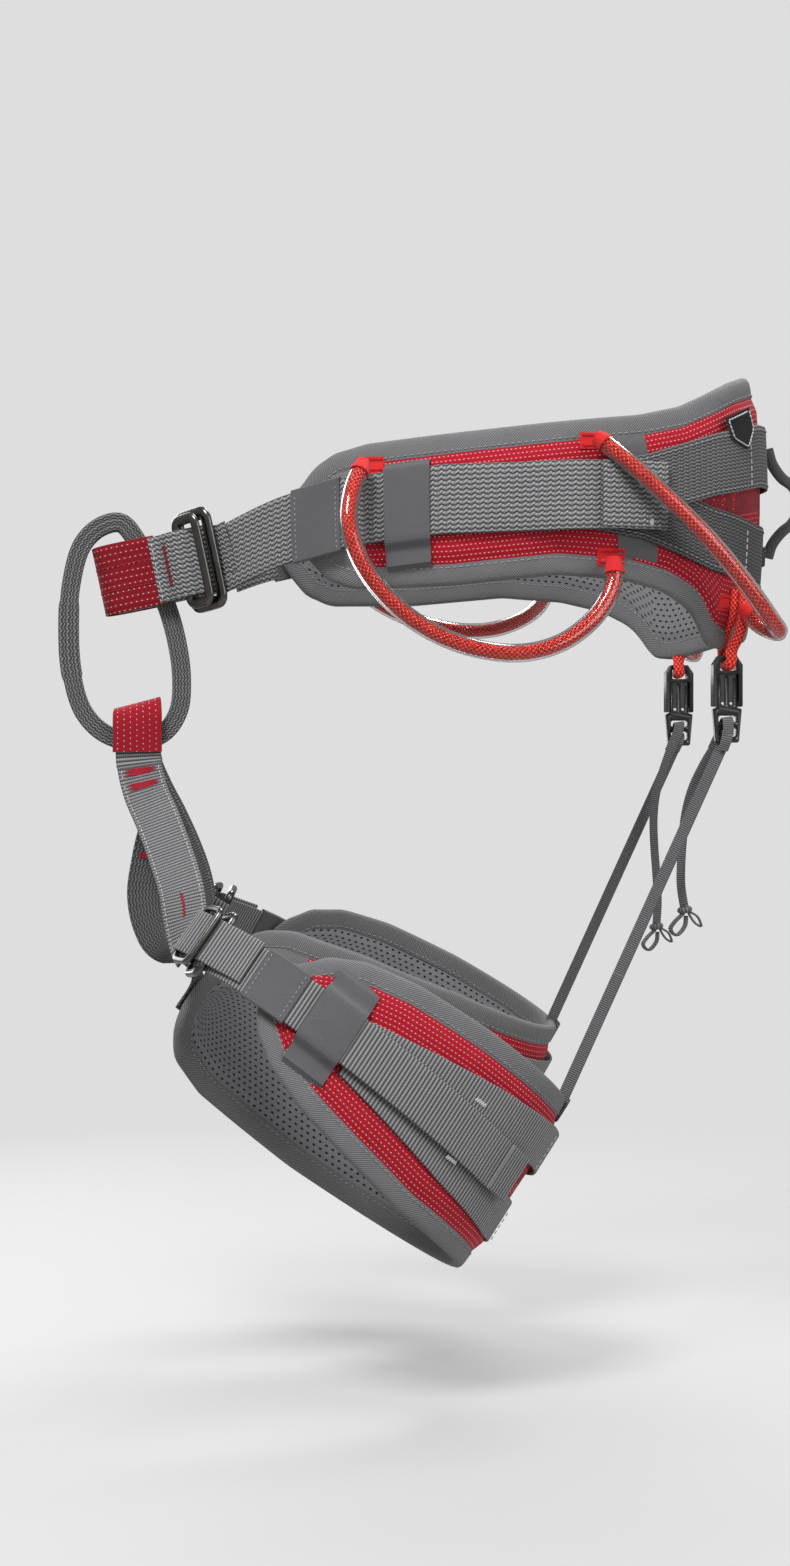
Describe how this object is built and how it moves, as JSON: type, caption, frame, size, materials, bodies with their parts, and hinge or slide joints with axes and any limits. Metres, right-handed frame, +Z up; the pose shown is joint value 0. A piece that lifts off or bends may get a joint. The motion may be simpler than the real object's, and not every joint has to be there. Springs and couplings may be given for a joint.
{
  "type": "padded climbing harness",
  "caption": "Padded sit harness: waist belt with webbing, belay loop, clear gear loops, two adjustable leg loops and elastic risers with side-release clips.",
  "frame": {"origin": "centre of the waist ring, on the harness's mid plane, level with the waist webbing", "axes": "+Z up along the wearer's body, -Y to the front where the belay loop is, +X to the wearer's left"},
  "size_m": [0.383, 0.5144, 0.5895],
  "materials": {
    "grey_webbing": "coarse chevron weave, matt",
    "grey_padding": "padded fabric with twill edge binding and air mesh lining, matt",
    "grey_elastic": "fine ribbed elastic, matt",
    "red_dotted_fabric": "woven with rows of pale dots, matt",
    "red_webbing": "woven wear cover with rows of pale dots, matt",
    "red_cord": "braided",
    "clear_tube": "clear flexible tube, glossy",
    "gunmetal": "dark polished steel",
    "black_plastic": "moulded, satin",
    "dark_cord": "braided flat cord",
    "elastic_strap": "flat woven elastic, matt"
  },
  "bodies": {
    "waist_belt": {"waist_pad": "grey_padding", "waist_panel": "red_dotted_fabric", "back_band_upper": "grey_webbing", "back_band_lower": "grey_webbing", "waist_webbing_left": "grey_webbing", "waist_webbing_right": "grey_webbing", "waist_keeper_left": "grey_elastic", "waist_keeper_right": "grey_elastic", "tie_in_sleeve": "red_webbing", "waist_buckle_frame": "gunmetal", "riser_cord_left": "red_cord", "riser_cord_right": "red_cord", "riser_clip_female_left": "black_plastic", "riser_clip_female_right": "black_plastic"},
    "waist_buckle_slider": {"waist_buckle_slider": "gunmetal"},
    "haul_loop": {"haul_loop": "dark_cord"},
    "belay_loop": {"belay_loop": "grey_webbing", "leg_strap_sleeve": "red_webbing", "riser_strap_middle_left": "elastic_strap", "riser_strap_middle_right": "elastic_strap"},
    "waist_sliding_keeper_left": {"waist_sliding_keeper_left": "grey_elastic"},
    "gear_loop_front_left": {"gear_loop_front_left_tube": "clear_tube", "gear_loop_front_left_cord": "red_cord"},
    "gear_loop_rear_left": {"gear_loop_rear_left_tube": "clear_tube", "gear_loop_rear_left_cord": "red_cord"},
    "riser_clip_left": {"riser_clip_male_left": "black_plastic", "riser_strap_upper_left": "elastic_strap", "riser_tail_left": "dark_cord"},
    "leg_left": {"leg_pad_left": "grey_padding", "leg_panel_left": "red_dotted_fabric", "leg_band_upper_left": "grey_webbing", "leg_band_lower_left": "grey_webbing", "leg_webbing_left": "grey_webbing", "leg_keeper_left": "grey_elastic", "leg_buckle_frame_left": "gunmetal", "tie_strap_left": "grey_webbing", "medial_strap_left": "grey_webbing", "riser_strap_lower_left": "elastic_strap"},
    "leg_sliding_keeper_left": {"leg_sliding_keeper_left": "grey_elastic"},
    "leg_buckle_slider_left": {"leg_buckle_slider_left": "gunmetal"},
    "waist_sliding_keeper_right": {"waist_sliding_keeper_right": "grey_elastic"},
    "gear_loop_front_right": {"gear_loop_front_right_tube": "clear_tube", "gear_loop_front_right_cord": "red_cord"},
    "gear_loop_rear_right": {"gear_loop_rear_right_tube": "clear_tube", "gear_loop_rear_right_cord": "red_cord"},
    "riser_clip_right": {"riser_clip_male_right": "black_plastic", "riser_strap_upper_right": "elastic_strap", "riser_tail_right": "dark_cord"},
    "leg_right": {"leg_pad_right": "grey_padding", "leg_panel_right": "red_dotted_fabric", "leg_band_upper_right": "grey_webbing", "leg_band_lower_right": "grey_webbing", "leg_webbing_right": "grey_webbing", "leg_keeper_right": "grey_elastic", "leg_buckle_frame_right": "gunmetal", "tie_strap_right": "grey_webbing", "medial_strap_right": "grey_webbing", "riser_strap_lower_right": "elastic_strap"},
    "leg_sliding_keeper_right": {"leg_sliding_keeper_right": "grey_elastic"},
    "leg_buckle_slider_right": {"leg_buckle_slider_right": "gunmetal"}
  },
  "joints": [
    {"name": "waist_buckle_tilt", "type": "hinge", "parent": "waist_belt", "child": "waist_buckle_slider", "pos_m": [0.023, -0.219, -0.048], "axis": [0, -0.2079, 0.9781], "range_deg": [-20, 0]},
    {"name": "haul_loop_swing", "type": "hinge", "parent": "waist_belt", "child": "haul_loop", "pos_m": [0, 0.189, 0], "axis": [0, 0, 1], "range_deg": [-60, 60], "stiffness_Nm_per_rad": 0.004},
    {"name": "belay_loop_swing", "type": "hinge", "parent": "waist_belt", "child": "belay_loop", "pos_m": [0, -0.245, -0.05], "axis": [1, 0, 0], "range_deg": [-5, 5], "stiffness_Nm_per_rad": 12, "springref_deg": 3.31, "deforming": ["riser_strap_middle_left", "riser_strap_middle_right"]},
    {"name": "waist_keeper_slide_left", "type": "slide", "parent": "waist_belt", "child": "waist_sliding_keeper_left", "axis": [-0.4686, -0.8475, -0.2493], "range_m": [0, 0.0025]},
    {"name": "gear_loop_front_left_lift", "type": "hinge", "parent": "waist_belt", "child": "gear_loop_front_left", "pos_m": [0.104, -0.106, 0.012], "axis": [-0.1158, -0.9262, 0.3589], "range_deg": [0, 70], "stiffness_Nm_per_rad": 0.06, "springref_deg": 2.77},
    {"name": "gear_loop_rear_left_lift", "type": "hinge", "parent": "waist_belt", "child": "gear_loop_rear_left", "pos_m": [0.126, 0.042, 0.028], "axis": [0.2222, -0.6862, 0.6927], "range_deg": [0, 42], "stiffness_Nm_per_rad": 0.06, "springref_deg": 1.88},
    {"name": "riser_clip_release_left", "type": "slide", "parent": "waist_belt", "child": "riser_clip_left", "axis": [0, 0, -1], "range_m": [0, 0.024], "deforming": ["riser_strap_upper_left"]},
    {"name": "leg_swing_left", "type": "hinge", "parent": "belay_loop", "child": "leg_left", "pos_m": [0, -0.249, -0.16], "axis": [1, 0, 0], "range_deg": [-7, 7], "stiffness_Nm_per_rad": 8, "springref_deg": 2.33, "deforming": ["riser_strap_lower_left"]},
    {"name": "waist_keeper_slide_right", "type": "slide", "parent": "waist_belt", "child": "waist_sliding_keeper_right", "axis": [0.4686, -0.8475, -0.2493], "range_m": [0, 0.0025]},
    {"name": "gear_loop_front_right_lift", "type": "hinge", "parent": "waist_belt", "child": "gear_loop_front_right", "pos_m": [-0.104, -0.106, 0.012], "axis": [-0.1158, 0.9262, -0.3589], "range_deg": [-42, 28], "stiffness_Nm_per_rad": 0.06, "springref_deg": 7.34},
    {"name": "gear_loop_rear_right_lift", "type": "hinge", "parent": "waist_belt", "child": "gear_loop_rear_right", "pos_m": [-0.126, 0.042, 0.028], "axis": [0.2222, 0.6862, -0.6927], "range_deg": [0, 42], "stiffness_Nm_per_rad": 0.06, "springref_deg": 1.74},
    {"name": "riser_clip_release_right", "type": "slide", "parent": "waist_belt", "child": "riser_clip_right", "axis": [0, 0, -1], "range_m": [0, 0.024], "deforming": ["riser_strap_upper_right"]},
    {"name": "leg_swing_right", "type": "hinge", "parent": "belay_loop", "child": "leg_right", "pos_m": [0, -0.249, -0.16], "axis": [1, 0, 0], "range_deg": [-7, 7], "stiffness_Nm_per_rad": 8, "springref_deg": 2.77, "deforming": ["riser_strap_lower_right"]},
    {"name": "leg_keeper_slide_left", "type": "slide", "parent": "leg_left", "child": "leg_sliding_keeper_left", "axis": [-0.4446, -0.7718, 0.4545], "range_m": [0, 0.0025]},
    {"name": "leg_buckle_tilt_left", "type": "hinge", "parent": "leg_left", "child": "leg_buckle_slider_left", "pos_m": [0.10377, -0.2169, -0.29115], "axis": [0.1564, -0.5665, -0.8091], "range_deg": [0, 20]},
    {"name": "leg_keeper_slide_right", "type": "slide", "parent": "leg_right", "child": "leg_sliding_keeper_right", "axis": [0.4446, -0.8215, 0.357], "range_m": [0, 0.0025]},
    {"name": "leg_buckle_tilt_right", "type": "hinge", "parent": "leg_right", "child": "leg_buckle_slider_right", "pos_m": [-0.10377, -0.20114, -0.28651], "axis": [0.1564, 0.4637, 0.8721], "range_deg": [0, 20]}
  ]
}
